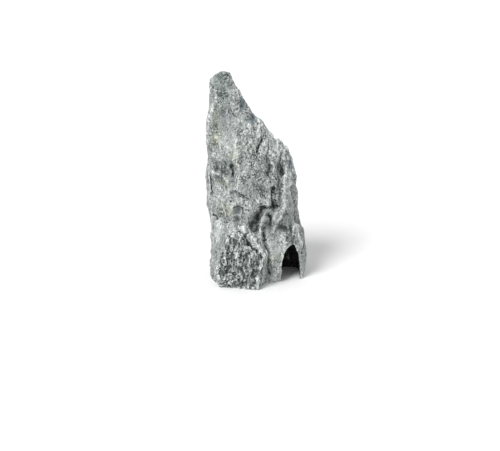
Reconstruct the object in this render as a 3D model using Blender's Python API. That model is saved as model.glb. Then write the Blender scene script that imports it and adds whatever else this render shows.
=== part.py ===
"""One upright seiryu stone: a grey limestone spire that stands on its own flat foot.

A blank is lofted through level outlines, split with flat breaks, and joined to its front buttress, the
ledge beside it and its thin leg, which a hollow then parts from the body. Its skin is evened out, carved
and wrinkled.
+Z is up and the broad face looks towards -Y. The origin is under the middle of the stone, on the ground.
Lists of sizes are in millimetres, and MM turns them into metres.
"""

import bmesh
import bpy
import numpy as np
from mathutils import Vector, noise

MM = 0.001

# Driving dimensions
HEIGHT = 237.2
FOOT_CUT = 1.2
SKIN_CELL = 1.7
TRIANGLES = 10300

# Colour in linear light
STONE_GREY = (0.32, 0.345, 0.34, 1.0)
STONE_ROUGHNESS = 0.85

# The stone's reach at each level: height, left, right, front, back
LEVELS = (
    (-6.0, -43.0, 56.0, -30.0, 31.0),
    (14.0, -50.0, 59.0, -37.0, 41.0),
    (36.0, -52.0, 61.0, -37.0, 42.0),
    (47.0, -52.5, 56.0, -36.5, 41.5),
    (57.0, -53.0, 53.0, -36.0, 41.0),
    (74.0, -54.0, 50.8, -33.5, 39.5),
    (97.0, -56.0, 48.6, -31.0, 37.0),
    (107.0, -56.5, 46.0, -29.5, 35.5),
    (117.0, -57.0, 47.8, -28.0, 34.0),
    (134.0, -57.6, 51.2, -25.5, 31.5),
    (138.0, -57.8, 54.0, -25.0, 31.0),
    (146.0, -58.0, 50.5, -23.0, 29.0),
    (155.0, -58.0, 38.5, -21.0, 27.0),
    (160.0, -58.2, 24.0, -20.0, 26.0),
    (169.0, -58.0, 17.0, -18.0, 24.0),
    (187.0, -56.0, 1.5, -14.0, 21.0),
    (200.0, -51.8, -8.0, -11.0, 18.0),
    (211.0, -50.5, -15.5, -8.5, 15.5),
    (220.0, -50.5, -19.5, -6.0, 13.5),
    (228.0, -49.5, -22.5, -4.5, 12.5),
    (234.0, -40.0, -25.5, -3.0, 11.0),
    (HEIGHT, -35.5, -29.5, -1.0, 9.0),
)

# A level outline's corners, as shares of the reach: x from -1 (left) to 1, y from -1 (front) to 1
OUTLINE = (
    (-1.00, 0.10),
    (-0.88, -0.56),
    (-0.52, -0.86),
    (-0.10, -1.00),
    (0.34, -0.90),
    (0.72, -0.66),
    (1.00, -0.05),
    (0.86, 0.55),
    (0.38, 0.96),
    (-0.22, 1.00),
    (-0.80, 0.68),
)

# Flat breaks: a point on each and the way it faces
BREAKS = {
    "brow": ((-43, -5, 214), (-0.30, -0.94, 0.14)),
    "upper_shoulder": ((-8, 0, 202), (0.55, -0.75, 0.37)),
    "lower_shoulder": ((13, -5, 175), (0.545, -0.70, 0.462)),
    "left_strip": ((-53.5, -15, 150), (-0.80, -0.60, 0.04)),
    "left_panel": ((-37, -18, 160), (-0.24, -0.96, 0.14)),
    "back_slope": ((-30, 17, 200), (0.10, 0.94, 0.28)),
    "back_shoulder": ((8, 19, 150), (0.42, 0.88, 0.22)),
    "back_middle": ((-12, 34, 96), (-0.16, 0.97, -0.06)),
    "back_right": ((37.5, 23.5, 110), (0.66, 0.72, 0.22)),
    "back_left": ((-47, 20, 90), (-0.72, 0.69, 0.03)),
    "back_foot": ((-10, 38, 18), (-0.15, 0.92, -0.36)),
    "right_flank": ((48, 14, 70), (0.90, 0.42, 0.10)),
}

# The buttress that juts from the lower left of the face: corners of its hull
BUTTRESS = (
    (-21, -46, 70),
    (-31, -46, 61),
    (-38, -45, 37),
    (10, -51, 37),
    (3, -53, 12),
    (0, -47, -6),
    (-44, -44, 13),
    (-38, -40, -6),
    (-50, -18, 80),
    (-27, -28, 78),
    (-50, -10, -6),
    (13, -18, 38),
    (8, -14, -6),
    (-14, -20, 70),
)

# The ledge beside the buttress, a small step back from its face: corners of its hull
LEDGE = (
    (-18, -42, 72),
    (-11, -38, 74),
    (9, -46, 37),
    (13, -41, 38),
    (6, -47, 10),
    (4, -42, -6),
    (12, -42, 10),
    (10, -38, -6),
    (-9, -20, 80),
    (16, -26, 42),
    (15, -20, -6),
    (-16, -20, 76),
)

# The thin leg at the lower right: corners of its hull
LEG = (
    (42, -22, 68),
    (48, -19, 66),
    (50, -5, 68),
    (48, 12, 66),
    (53, -19, 48),
    (57, -8, 39),
    (57, 8, 40),
    (48, -19, -6),
    (55, -17, -6),
    (56.5, -8, -6),
    (57.5, 12, -6),
    (50, 26, -6),
)

# The hollow between body and leg: corners of its hull, mouth first, then its back wall
HOLLOW = (
    (43.5, -70, 51.5),
    (40.5, -70, 47.5),
    (37, -70, 42),
    (33.5, -70, 35.5),
    (31, -70, 28),
    (29.5, -70, 14),
    (33, -70, -12),
    (45, -70, -12),
    (51, -70, 14),
    (50, -70, 30),
    (46, -70, 45),
    (42.5, 18, 41),
    (35.5, 18, 39),
    (33, 18, 31),
    (32, 22, -12),
    (50, 20, -12),
    (48.5, 18, 20),
    (46.5, 18, 32),
)

# Where each side is seen from, with the two directions that its carvings are drawn in
SIDES = {
    "front": ((0, -1, 0), (1, 0, 0)),
    "back": ((0, 1, 0), (1, 0, 0)),
    "left": ((-1, 0, 0), (0, 1, 0)),
    "right": ((1, 0, 0), (0, 1, 0)),
}

# Grooves and hollows, and ribs where the depth is negative: side, width, depth, route as (across, height)
CARVINGS = {
    "gully": ("front", 8.5, 8.0, ((15, 68), (20, 54), (23, 42), (24, 31))),
    "knee": ("front", 8.0, -2.6, ((14, 77), (27, 69))),
    "gully_edge": ("front", 1.9, 4.5, ((9.5, 66), (10, 58), (12.5, 46), (15.5, 36), (16, 20), (15, 0))),
    "gully_ridge": ("front", 2.6, -2.6, ((8.5, 84), (6.5, 73), (4.5, 60), (8, 49))),
    "buttress_step": ("front", 1.5, 2.2, ((-16, 66), (-11, 62), (-2, 50), (7, 40))),
    "deep_slit": ("front", 2.2, 5.5, ((18.8, 110), (20, 99), (21.8, 89))),
    "slit_top": ("front", 2.6, 2.5, ((14, 127), (17.5, 118), (18.8, 110))),
    "slit_hook": ("front", 2.4, 3.8, ((25, 89), (16, 89.5), (7.5, 89.5))),
    "slit_tail": ("front", 2.6, 4.5, ((7.5, 89), (4.5, 81), (1.5, 64))),
    "slit_flank": ("front", 3.4, 3.2, ((25, 134), (25.5, 118), (26, 104), (26.5, 92))),
    "dark_hollow": ("front", 6.0, 6.5, ((2, 80), (-5, 66))),
    "hanging_slit": ("front", 1.9, 3.5, ((15, 83), (17.5, 77), (17, 69))),
    "long_strand": ("front", 2.3, -2.0, ((31, 84), (25, 73), (19.5, 61))),
    "short_strand": ("front", 2.3, -1.6, ((24, 84), (19.5, 75))),
    "rib_foot": ("front", 4.5, 2.8, ((27, 69), (33, 65.5), (39, 63))),
    "upper_pit": ("front", 3.0, 5.0, ((28.5, 144), (27.5, 135), (29.5, 125))),
    "middle_pit": ("front", 2.8, 4.5, ((12, 144), (16, 133), (14, 126))),
    "diagonal_slit": ("front", 2.0, 3.5, ((8.5, 164), (2, 151))),
    "step_shade": ("front", 4.0, 2.0, ((2, 114), (12, 108))),
    "bright_step": ("front", 3.5, -1.8, ((5, 100), (14, 97))),
    "crack": ("front", 1.8, 3.0, ((-22, 108), (-14, 104), (-7, 99))),
    "tent_ledge": ("front", 2.0, -1.6, ((-36, 101), (-29, 110), (-21, 111))),
    "upper_oval": ("front", 3.4, 3.4, ((-17.5, 91), (-19.5, 86))),
    "lower_oval": ("front", 3.0, 3.0, ((-21, 80), (-19, 76))),
    "left_hollow": ("front", 6.5, 5.0, ((-45, 137), (-37, 136), (-29, 132))),
    "left_ledge": ("front", 2.6, -2.0, ((-50, 127), (-43, 126.5), (-35, 125.5), (-31, 117))),
    "face_slit": ("front", 2.0, 4.0, ((-25.5, 137), (-24.5, 121))),
    "left_crack": ("front", 1.8, 4.5, ((-50.5, 133), (-48.4, 114), (-47.5, 97), (-49.8, 84))),
    "left_notch": ("front", 2.2, 5.0, ((-50, 82), (-43.5, 79))),
    "face_ridge": ("front", 4.5, -3.0, ((-22, 170), (-20, 150), (-19, 116))),
    "tip_lens": ("front", 1.9, 2.0, ((-47.5, 219), (-47, 209))),
    "tip_block": ("front", 2.0, 2.2, ((-29, 203), (-26.5, 194), (-21.5, 187.5))),
    "upper_scoop": ("front", 5.0, 3.2, ((-15, 205), (-12, 193))),
    "lower_scoop": ("front", 4.5, 2.6, ((-5, 187), (3, 180))),
    "slab_rim": ("front", 5.0, -2.4, ((9, 180), (-6, 179), (-15, 166), (-20, 150))),
    "right_rib": ("front", 6.0, -3.5, ((37, 128), (40, 100), (42, 75), (45, 40), (46, 10))),
    "rib_crest": ("front", 2.8, -2.0, ((32.5, 124), (32.5, 107), (33, 88))),
    "back_gully": ("back", 7.0, 7.0, ((-18, 190), (-10, 150), (-14, 105), (-4, 60), (-8, 0))),
    "back_slit": ("back", 2.8, 3.6, ((22, 132), (18, 118), (19, 108))),
    "back_crack": ("back", 2.0, 3.0, ((16, 106), (21, 94), (16, 80), (17, 72))),
    "back_branch": ("back", 3.6, 5.0, ((-14, 105), (6, 92), (18, 66), (22, 30))),
    "back_rib": ("back", 6.0, -4.0, ((-36, 150), (-34, 96), (-38, 40))),
    "back_shelf": ("back", 4.0, 4.5, ((-40, 118), (-22, 108), (-4, 112))),
    "back_step": ("back", 3.5, 4.0, ((8, 62), (24, 70), (40, 66))),
    "back_hollow": ("back", 7.0, 6.0, ((32, 60), (36, 44))),
    "left_gully": ("left", 4.5, 4.5, ((6, 186), (4, 140), (9, 96), (2, 48), (5, 8))),
    "left_pit": ("left", 3.5, 3.5, ((-12, 62), (-10, 54))),
    "right_gully": ("right", 5.0, 5.0, ((9, 126), (12, 92), (8, 62))),
    "right_slit": ("right", 2.2, 4.0, ((-6, 108), (-3, 84), (-8, 66))),
}

# A carving fades out where the skin turns from its side, between these two cosines
FACING = (0.05, 0.55)

# Slow swelling of the whole skin, in size and height
SWELL_SIZE = 38.0
SWELL = 2.2

# Flat chips that lean their own ways, taller than they are wide
CHIP_SIZE = 16.0
CHIP_STRETCH = 1.67
CHIP = 2.2
CHIP_SPREAD = 7.3

# Upright flutes: width, length, height. They wander by a slow noise, and ridge noise has this mean
FLUTES = ((10.0, 36.0, 1.6), (6.0, 15.0, 1.2))
WANDER_SIZE = 30.0
WANDER = 4.0
WANDER_STARTS = ((0, 0, 0), (9, 4, 2), (3, 7, 8))
RIDGE_MEAN = 1.1

# Patches that water has worn smoother: centre, radius, and the share of the wrinkles that is left
WORN = {
    "left_panel": ((-38, -22, 172), 30, 0.30),
    "right_rib": ((41, -20, 92), 24, 0.25),
    "gully": ((22, -28, 42), 22, 0.30),
    "knee": ((18, -25, 74), 16, 0.40),
    "dark_hollow": ((-1, -30, 76), 12, 0.35),
    "leg": ((54, -4, 18), 24, 0.50),
    "hollow_wall": ((51, 6, 10), 16, 0.25),
    "fluted_face": ((4, -24, 138), 30, 0.65),
    "left_flank": ((-50, -25, 60), 22, 0.50),
    "back_panel": ((-30, 30, 70), 30, 0.60),
    "back_brow": ((-30, 16, 205), 24, 0.50),
}

# A worn patch fades in between these shares of its radius
WORN_EDGE = (1.3, 0.5)


def clear_scene():
    for obj in list(bpy.data.objects):
        bpy.data.objects.remove(obj)


def add_object(name, mesh):
    obj = bpy.data.objects.new(name, mesh)
    bpy.context.scene.collection.objects.link(obj)
    return obj


def mesh_of(name, bm):
    bmesh.ops.recalc_face_normals(bm, faces=bm.faces)
    mesh = bpy.data.meshes.new(name)
    bm.to_mesh(mesh)
    bm.free()
    return mesh


def level_ring(bm, height, left, right, front, back):
    """One level outline, with its corners stretched to that level's reach."""
    across, deep = (right - left) / 2, (back - front) / 2
    middle = Vector(((left + right) / 2, (front + back) / 2, height))
    return [bm.verts.new((middle + Vector((x * across, y * deep, 0))) * MM) for x, y in OUTLINE]


def lofted_blank():
    """The uncut block: level rings joined by side faces, closed below and above."""
    bm = bmesh.new()
    rings = [level_ring(bm, *level) for level in LEVELS]
    for low, high in zip(rings, rings[1:]):
        for i in range(len(OUTLINE)):
            j = (i + 1) % len(OUTLINE)
            bm.faces.new((low[i], low[j], high[j], high[i]))
    bm.faces.new(rings[0])
    bm.faces.new(rings[-1])
    return bm


def split_off(bm, point, facing):
    """Breaks away what lies beyond a plane and closes the break with one flat face."""
    everything = bm.verts[:] + bm.edges[:] + bm.faces[:]
    cut = bmesh.ops.bisect_plane(
        bm,
        geom=everything,
        plane_co=Vector(point) * MM,
        plane_no=Vector(facing).normalized(),
        clear_outer=True,
    )
    rim = [e for e in cut["geom_cut"] if isinstance(e, bmesh.types.BMEdge)]
    bmesh.ops.contextual_create(bm, geom=rim)


def hull_object(name, corners):
    bm = bmesh.new()
    points = [bm.verts.new(Vector(c) * MM) for c in corners]
    made = bmesh.ops.convex_hull(bm, input=points)
    bmesh.ops.delete(bm, geom=made["geom_interior"], context="VERTS")
    return add_object(name, mesh_of(name, bm))


def bake(obj):
    """Applies the object's modifiers to its mesh."""
    graph = bpy.context.evaluated_depsgraph_get()
    obj.data = bpy.data.meshes.new_from_object(obj.evaluated_get(graph))
    obj.modifiers.clear()


def use_hull(block, name, corners, operation):
    """Joins a hull to the block or cuts it away, and keeps nothing else of the hull."""
    hull = hull_object(name, corners)
    modifier = block.modifiers.new(name, "BOOLEAN")
    modifier.operation = operation
    modifier.object = hull
    bake(block)
    bpy.data.objects.remove(hull)


def smooth_ramp(low, high, value):
    """0 up to low, 1 from high, and an S-curve between them."""
    t = np.clip((value - low) / (high - low), 0.0, 1.0)
    return t * t * (3.0 - 2.0 * t)


def route_distance(flat_points, route):
    """How far each (across, height) point lies from the nearest stretch of a route."""
    nearest = np.full(len(flat_points), np.inf)
    for start, end in zip(route, route[1:]):
        start, along = np.array(start, float), np.subtract(end, start).astype(float)
        share = np.clip((flat_points - start) @ along / (along @ along), 0.0, 1.0)
        gap = np.linalg.norm(flat_points - start - share[:, None] * along, axis=1)
        nearest = np.minimum(nearest, gap)
    return nearest


def carved(points, normals):
    """Every carving pressed into the points of its side, with a bell-shaped cross-section."""
    moved = points.copy()
    for side, width, depth, route in CARVINGS.values():
        seen_from, across = (np.array(v, float) for v in SIDES[side])
        flat_points = np.stack([points @ across, points[:, 2]], axis=1)
        bell = np.exp(-((route_distance(flat_points, route) / width) ** 2))
        facing = smooth_ramp(*FACING, normals @ seen_from)
        moved -= (depth * bell * facing)[:, None] * seen_from
    return moved


def tilted_chip(point):
    """The height of the flat chip that a point lies on: each cell of broken rock leans its own way."""
    place = Vector((point.x, point.y, point.z / CHIP_STRETCH)) / CHIP_SIZE
    centre = noise.voronoi(place)[1][0]
    lean = noise.cell_vector(centre * CHIP_SPREAD) * 2 - Vector((1, 1, 1))
    return lean.dot(place - centre)


def wandered(point):
    """The point pushed about by slow noise, so that flutes wander instead of running straight."""
    place = point / WANDER_SIZE
    return point + WANDER * Vector([noise.noise(place + Vector(start)) for start in WANDER_STARTS])


def flute(point, width, length):
    """Upright ridges with sharp crests, about 0 on average."""
    place = Vector((point.x / width, point.y / width, point.z / length))
    return noise.ridged_multi_fractal(place, 1.0, 2.1, 2, 1.0, 2.0) - RIDGE_MEAN


def wrinkle_height(point):
    """How far the broken, water-worn surface stands proud of the carved form at a point."""
    bent = wandered(point)
    height = SWELL * noise.fractal(point / SWELL_SIZE, 1.0, 2.0, 2)
    height += CHIP * tilted_chip(bent)
    for width, length, rise in FLUTES:
        height += rise * flute(bent, width, length)
    return height


def wear_share(points):
    """The share of the wrinkles that is left at each point: less on the worn patches."""
    share = np.ones(len(points))
    for centre, radius, left in WORN.values():
        gap = np.linalg.norm(points - np.array(centre, float), axis=1)
        share *= 1.0 - (1.0 - left) * smooth_ramp(*WORN_EDGE, gap / radius)
    return share


def wrinkled(points, normals):
    heights = np.array([wrinkle_height(Vector(p)) for p in points])
    return points + (heights * wear_share(points))[:, None] * normals


def points_of(mesh):
    flat = np.empty(len(mesh.vertices) * 3, np.float32)
    mesh.vertices.foreach_get("co", flat)
    return flat.reshape(-1, 3).astype(float) / MM


def normals_of(mesh):
    flat = np.empty(len(mesh.vertices) * 3, np.float32)
    mesh.vertex_normals.foreach_get("vector", flat)
    return flat.reshape(-1, 3).astype(float)


def set_points(mesh, points):
    mesh.vertices.foreach_set("co", (points * MM).astype(np.float32).ravel())
    mesh.update()


def rough_block():
    """The blank with its breaks, its buttress and ledge, and the hollow beside the leg."""
    bm = lofted_blank()
    for point, facing in BREAKS.values():
        split_off(bm, point, facing)
    bmesh.ops.triangulate(bm, faces=bm.faces)
    block = add_object("stone", mesh_of("stone", bm))
    use_hull(block, "buttress", BUTTRESS, "UNION")
    use_hull(block, "ledge", LEDGE, "UNION")
    use_hull(block, "leg", LEG, "UNION")
    use_hull(block, "hollow", HOLLOW, "DIFFERENCE")
    return block


def even_skin(stone):
    """Replaces the few large faces with small even ones, fine enough to carve."""
    even = stone.modifiers.new("even_skin", "REMESH")
    even.mode = "VOXEL"
    even.voxel_size = SKIN_CELL * MM
    bake(stone)


def weathered(stone):
    mesh = stone.data
    set_points(mesh, carved(points_of(mesh), normals_of(mesh)))
    set_points(mesh, wrinkled(points_of(mesh), normals_of(mesh)))


def fewer_faces(stone):
    thin = stone.modifiers.new("fewer_faces", "DECIMATE")
    thin.ratio = TRIANGLES / (2 * len(stone.data.polygons))
    bake(stone)


def stand_on_foot(stone):
    """Cuts the flat foot, then puts the origin under the middle of the stone's box, on the ground."""
    bm = bmesh.new()
    bm.from_mesh(stone.data)
    split_off(bm, (0, 0, FOOT_CUT), (0, 0, -1))
    bmesh.ops.triangulate(bm, faces=bm.faces)
    corners = [Vector(map(pick, *(v.co for v in bm.verts))) for pick in (min, max)]
    middle = (corners[0] + corners[1]) / 2
    bmesh.ops.translate(bm, verts=bm.verts, vec=(-middle.x, -middle.y, -FOOT_CUT * MM))
    stone.data = mesh_of("stone", bm)


def grey_limestone():
    material = bpy.data.materials.new("grey_limestone")
    material.use_nodes = True
    shader = material.node_tree.nodes["Principled BSDF"]
    shader.inputs["Base Color"].default_value = STONE_GREY
    shader.inputs["Roughness"].default_value = STONE_ROUGHNESS
    shader.inputs["Metallic"].default_value = 0.0
    return material


def main():
    clear_scene()
    stone = rough_block()
    even_skin(stone)
    weathered(stone)
    fewer_faces(stone)
    stand_on_foot(stone)
    stone.data.materials.append(grey_limestone())


main()
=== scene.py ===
"""An upright seiryu stone, weathered in fine detail, on a pale floor under soft studio light.

The stone's solid is copied, remeshed into even cells and given its fine relief with whole-array noise.
Relief, stains and painted light and shade are kept as mesh attributes, and the stone's material reads them.
Lists of sizes and places are in millimetres, and MM turns them into metres. The broad face looks to -Y.
A pair that is given to blend says where something starts to ease in, and where it is there in full.
"""

import math

import bmesh
import bpy
import numpy as np
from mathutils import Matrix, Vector


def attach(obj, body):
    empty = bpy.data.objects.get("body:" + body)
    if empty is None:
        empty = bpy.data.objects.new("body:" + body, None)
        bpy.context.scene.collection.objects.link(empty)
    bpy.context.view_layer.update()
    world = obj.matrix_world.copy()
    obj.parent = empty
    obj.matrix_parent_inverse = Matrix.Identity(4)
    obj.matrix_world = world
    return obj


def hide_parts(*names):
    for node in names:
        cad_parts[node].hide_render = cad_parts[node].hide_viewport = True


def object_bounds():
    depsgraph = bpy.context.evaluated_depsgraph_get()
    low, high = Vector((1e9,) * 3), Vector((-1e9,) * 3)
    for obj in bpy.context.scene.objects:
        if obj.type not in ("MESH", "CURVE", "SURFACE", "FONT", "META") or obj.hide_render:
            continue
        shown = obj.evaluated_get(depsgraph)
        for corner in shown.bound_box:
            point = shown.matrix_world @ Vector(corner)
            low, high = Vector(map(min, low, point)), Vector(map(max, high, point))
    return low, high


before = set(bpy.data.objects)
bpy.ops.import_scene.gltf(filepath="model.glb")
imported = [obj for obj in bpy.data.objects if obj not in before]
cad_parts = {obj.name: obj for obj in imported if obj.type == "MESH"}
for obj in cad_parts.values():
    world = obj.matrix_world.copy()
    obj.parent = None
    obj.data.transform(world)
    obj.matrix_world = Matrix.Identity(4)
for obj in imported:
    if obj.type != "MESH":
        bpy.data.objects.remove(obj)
bounds_at_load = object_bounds()

MM = 0.001

# Skin: the size of its cells, how near to each other the solid's vertices are merged, the height below
# which a vertex is set on the ground, and the rounds of smoothing that take the solid's facets away
SKIN_CELL = 1.0
WELD = 0.001
ON_GROUND = 0.6
FACET_ROUNDS = 8

# Rounds of smoothing between which the fine, the middle and the broad crests are measured
FINE_ROUNDS = 3
MIDDLE_ROUNDS = 24
BROAD_ROUNDS = 160

# How whole numbers are mixed into a cell's random number, and the channels, counted from a pattern's
# own, of a chip's lean and of a strewn point's own number
MIX_FACTORS = (2246822519, 3266489917, 668265263)
MIX_SHIFT = 15
MIX_TOP = 4294967295.0
CHANNEL_FACTOR = 2654435
CHANNEL_START = 97
LEAN_CHANNEL = 20
OWN_CHANNEL = 40

# Noise: its strength and how much finer its next layer is; for crests how much finer each next layer is,
# how many there are, how much fainter each is, their slope, their sharpness and how soon finer ones start
# beside them; how much the levels of chips differ, and a distance longer than any to a strewn point
NOISE_STRENGTH = 1.6
LAYER_FINER = 2.03
CREST_FINER = 2.1
CREST_LAYERS = 2
CREST_FAINTER = 0.6
CREST_SLOPE = 1.9
CREST_SHARPNESS = 1.5
CREST_FLANK = 1.5
CHIP_STEP = 0.4
FARTHER_THAN_ANY = 9.0

# Camera: the image's width in pixels, the focal length in pixels, and its place
IMAGE_WIDTH = 500
FOCAL_PIXELS = 1180
SENSOR = 36.0
CAMERA_RISE = math.radians(20)
CAMERA_DISTANCE = 1334
CAMERA_TARGET = (-7.58, 7.09, 58.3)

# Floor and light: the floor's radius in metres and its paint, where the sun stands, its width and
# strength, and how strongly the white surround lights the stone and shows behind it
FLOOR_RADIUS = 9.0
FLOOR_PAINT = {"Base Color": (0.9, 0.9, 0.9, 1), "Roughness": 0.9, "Specular IOR Level": 0.2}
SUN_PLACE = (-0.62, -0.70, 1.05)
SUN_ANGLE = math.radians(24)
SUN_STRENGTH = 2.5
SURROUND_LIGHT = 0.62
SURROUND_SEEN = 1.0


def blend(low, high, value):
    """0 up to low, 1 from high, and an S-curve between them."""
    t = np.clip((value - low) / (high - low), 0.0, 1.0)
    return t * t * (3.0 - 2.0 * t)


def cell_random(cells, channel):
    """A number from 0 to 1 for each cell: its three whole coordinates and the channel, well mixed."""
    mixed = np.full(cells.shape[:-1], channel * CHANNEL_FACTOR + CHANNEL_START, np.uint32)
    for axis, factor in enumerate(MIX_FACTORS):
        mixed = (mixed ^ cells[..., axis].astype(np.uint32)) * np.uint32(factor)
        mixed ^= mixed >> np.uint32(MIX_SHIFT)
    return mixed / MIX_TOP


def cell_random_place(cells, channel):
    """Three such numbers for each cell, from three channels in a row."""
    return np.stack([cell_random(cells, channel + i) for i in range(3)], axis=-1)


def soft_noise(points, channel):
    """Smooth noise about 0: the random slopes at a cell's eight corners, eased into each other."""
    low = np.floor(points).astype(np.int64)
    part = points - low
    ease = part**3 * (part * (part * 6 - 15) + 10)
    total = np.zeros(len(points))
    for corner in np.ndindex(2, 2, 2):
        slope = cell_random_place(low + corner, channel * 3) * 2 - 1
        weight = np.prod(np.where(corner, ease, 1 - ease), axis=-1)
        total += weight * ((part - corner) * slope).sum(axis=-1)
    return total * NOISE_STRENGTH


def layered(points, channel, gain=0.5):
    """Soft noise with a finer and fainter layer of itself added."""
    return soft_noise(points, channel) + gain * soft_noise(points * LAYER_FINER, channel + 1)


def crests(points, channel):
    """0 to 1, with sharp crests where soft noise passes through 0 and finer crests on their flanks."""
    height = np.zeros(len(points))
    share = np.ones(len(points))
    for i in range(CREST_LAYERS):
        apart = np.abs(soft_noise(points * CREST_FINER**i, channel + i))
        crest = np.clip(1 - CREST_SLOPE * apart, 0, 1) ** CREST_SHARPNESS
        height += share * crest * CREST_FAINTER**i
        share = np.clip(crest * CREST_FLANK, 0, 1)
    return height / sum(CREST_FAINTER**i for i in range(CREST_LAYERS))


def strewn(points, channel):
    """For each of the 27 cells around the points: the cell, the point strewn in it and how far that is."""
    low = np.floor(points).astype(np.int64)
    for step in np.ndindex(3, 3, 3):
        cell = low + step - 1
        spot = cell + cell_random_place(cell, channel * 3)
        yield cell, spot, np.linalg.norm(spot - points, axis=-1)


def scattered(points, channel):
    """Distance to the nearest strewn point, and that point's own random number."""
    first = np.full(len(points), FARTHER_THAN_ANY)
    own = np.zeros(len(points))
    for cell, _, gap in strewn(points, channel):
        own = np.where(gap < first, cell_random(cell, channel * 3 + OWN_CHANNEL), own)
        first = np.minimum(first, gap)
    return first, own


def chips(points, channel):
    """Flat chips of broken rock: around each strewn point lies a plane that leans its own way."""
    first = np.full(len(points), FARTHER_THAN_ANY)
    height = np.zeros(len(points))
    for cell, spot, gap in strewn(points, channel):
        lean = cell_random_place(cell, channel * 3 + LEAN_CHANNEL) * 2 - 1
        level = ((points - spot) * lean).sum(axis=-1) + CHIP_STEP * lean[:, 0]
        height = np.where(gap < first, level, height)
        first = np.minimum(first, gap)
    return height


def stretched(points, width, length):
    """The points in a pattern's own measure: width across the stone and length up it."""
    return points / np.array((width, width, length))


def wandered(points, size, reach, channel):
    """The points pushed about by slow noise of that size."""
    push = [soft_noise(points / size, channel + i) for i in range(3)]
    return points + reach * np.stack(push, axis=-1)


def points_of(mesh):
    """Each vertex's place, in millimetres."""
    flat = np.empty(len(mesh.vertices) * 3, np.float32)
    mesh.vertices.foreach_get("co", flat)
    return flat.reshape(-1, 3).astype(float) / MM


def normals_of(mesh):
    """Each vertex's normal."""
    flat = np.empty(len(mesh.vertices) * 3, np.float32)
    mesh.vertex_normals.foreach_get("vector", flat)
    return flat.reshape(-1, 3).astype(float)


def edges_of(mesh):
    """One end of every edge, and the other end of every edge."""
    flat = np.empty(len(mesh.edges) * 2, np.int32)
    mesh.edges.foreach_get("vertices", flat)
    return flat.reshape(-1, 2).T


def set_points(mesh, points):
    """Puts each vertex at its place in millimetres."""
    mesh.vertices.foreach_set("co", (points * MM).astype(np.float32).ravel())
    mesh.update()


def neighbour_mean(values, edges):
    """The mean of each vertex's neighbours."""
    a, b = edges
    count = len(values)
    shared = np.bincount(a, minlength=count) + np.bincount(b, minlength=count)
    columns = [
        np.bincount(a, weights=v[b], minlength=count) + np.bincount(b, weights=v[a], minlength=count)
        for v in values.reshape(count, -1).T
    ]
    return (np.stack(columns, axis=-1) / shared[:, None]).reshape(values.shape)


def smoothed(values, edges, rounds):
    """The values after that many rounds, each of which halves the way to the neighbours' mean."""
    for _ in range(rounds):
        values = (values + neighbour_mean(values, edges)) / 2
    return values


def even_copy(node):
    """A copy of a solid with its doubles merged and its skin remade in even cells."""
    bm = bmesh.new()
    bm.from_mesh(node.data)
    bmesh.ops.remove_doubles(bm, verts=bm.verts, dist=WELD * MM)
    merged = bpy.data.meshes.new("merged")
    bm.to_mesh(merged)
    bm.free()
    stone = bpy.data.objects.new("weathered_stone", merged)
    bpy.context.scene.collection.objects.link(stone)
    even = stone.modifiers.new("even_cells", "REMESH")
    even.mode = "VOXEL"
    even.voxel_size = SKIN_CELL * MM
    graph = bpy.context.evaluated_depsgraph_get()
    skin = bpy.data.meshes.new_from_object(stone.evaluated_get(graph))
    stone.modifiers.clear()
    stone.data = skin
    return stone


# How places fade out, in reaches from their middle
PLACE_FADE = (1.25, 0.55)

# Places with their own share of roughness: centre, reach across, reach up, share
ROUGHNESS_BY_PLACE = {
    "fluted_face": ((9, -20, 138), 34, 44, 0.88),
    "middle": ((-16, -18, 118), 16, 24, 0.52),
    "left_panel": ((-37, -8, 172), 17, 42, 0.42),
    "lilac_panel": ((-44, -10, 112), 11, 18, 0.40),
    "tip": ((-37, 2, 218), 16, 22, 0.65),
    "right_rib": ((40, -8, 96), 12, 42, 0.35),
    "knee": ((18, -18, 72), 15, 18, 0.50),
    "gully": ((20, -20, 42), 12, 24, 0.28),
    "dark_hollow": ((-3, -22, 74), 8, 12, 0.35),
    "left_flank": ((-44, -26, 60), 10, 18, 0.30),
    "leg": ((48, -4, 38), 9, 20, 0.80),
    "leg_foot": ((50, 2, 8), 15, 16, 0.35),
    "cream_patch": ((-24, -17, 153), 6, 10, 0.35),
    "ovals": ((-21, -21, 81), 7, 10, 0.30),
    "back_panel": ((-24, 34, 160), 24, 44, 0.40),
    "back_bulge": ((10, 40, 42), 24, 26, 0.45),
    "back_fluted": ((20, 28, 112), 20, 30, 1.0),
    "back_rough": ((-32, 36, 62), 20, 34, 0.95),
    "thin_wall": ((44, 28, 0), 12, 12, 0.05),
}
ROUGHNESS_ELSEWHERE = 0.70

# The buttress's rough front face: its outline as (across, height), counted anticlockwise, how soft its
# edge is, how far the skin has to turn to the front for it, and its roughness and its ledge's
BUTTRESS_FACE = (
    (-43.5, -9),
    (2.5, -9),
    (8, 35),
    (-4.1, 48.5),
    (-12.9, 60.5),
    (-21.5, 68),
    (-31.5, 61),
    (-37.5, 45),
    (-44, 22),
)
BUTTRESS_EDGE = 0.9
BUTTRESS_TURN = (0.1, 0.5)
BUTTRESS_ROUGHNESS = 1.05
LEDGE_ROUGHNESS = 0.7

# How far the skin turns to the front for marks of the broad face, and to the back for swells, how rough
# it is where cracks and swells come in, and how high above the ground the relief does
FRONT_TURN = (0.0, 0.4)
BACK_TURN = (-0.2, 0.4)
FIRM_ROUGHNESS = (0.1, 0.35)
FOOT_HEIGHT = (-3.0, 5.0)

# Heights and depths of the patterns of relief
PATTERNS = {
    "large_chips": 0.45,
    "small_chips": 0.35,
    "flutes": 0.55,
    "wrinkles": 0.50,
    "crumbs": 0.45,
    "bark_ridges": 0.55,
    "bark_chips": 0.8,
    "bark_waves": 1.2,
    "pits": 1.3,
    "cracks": 2.0,
    "swells": 1.5,
}

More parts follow.
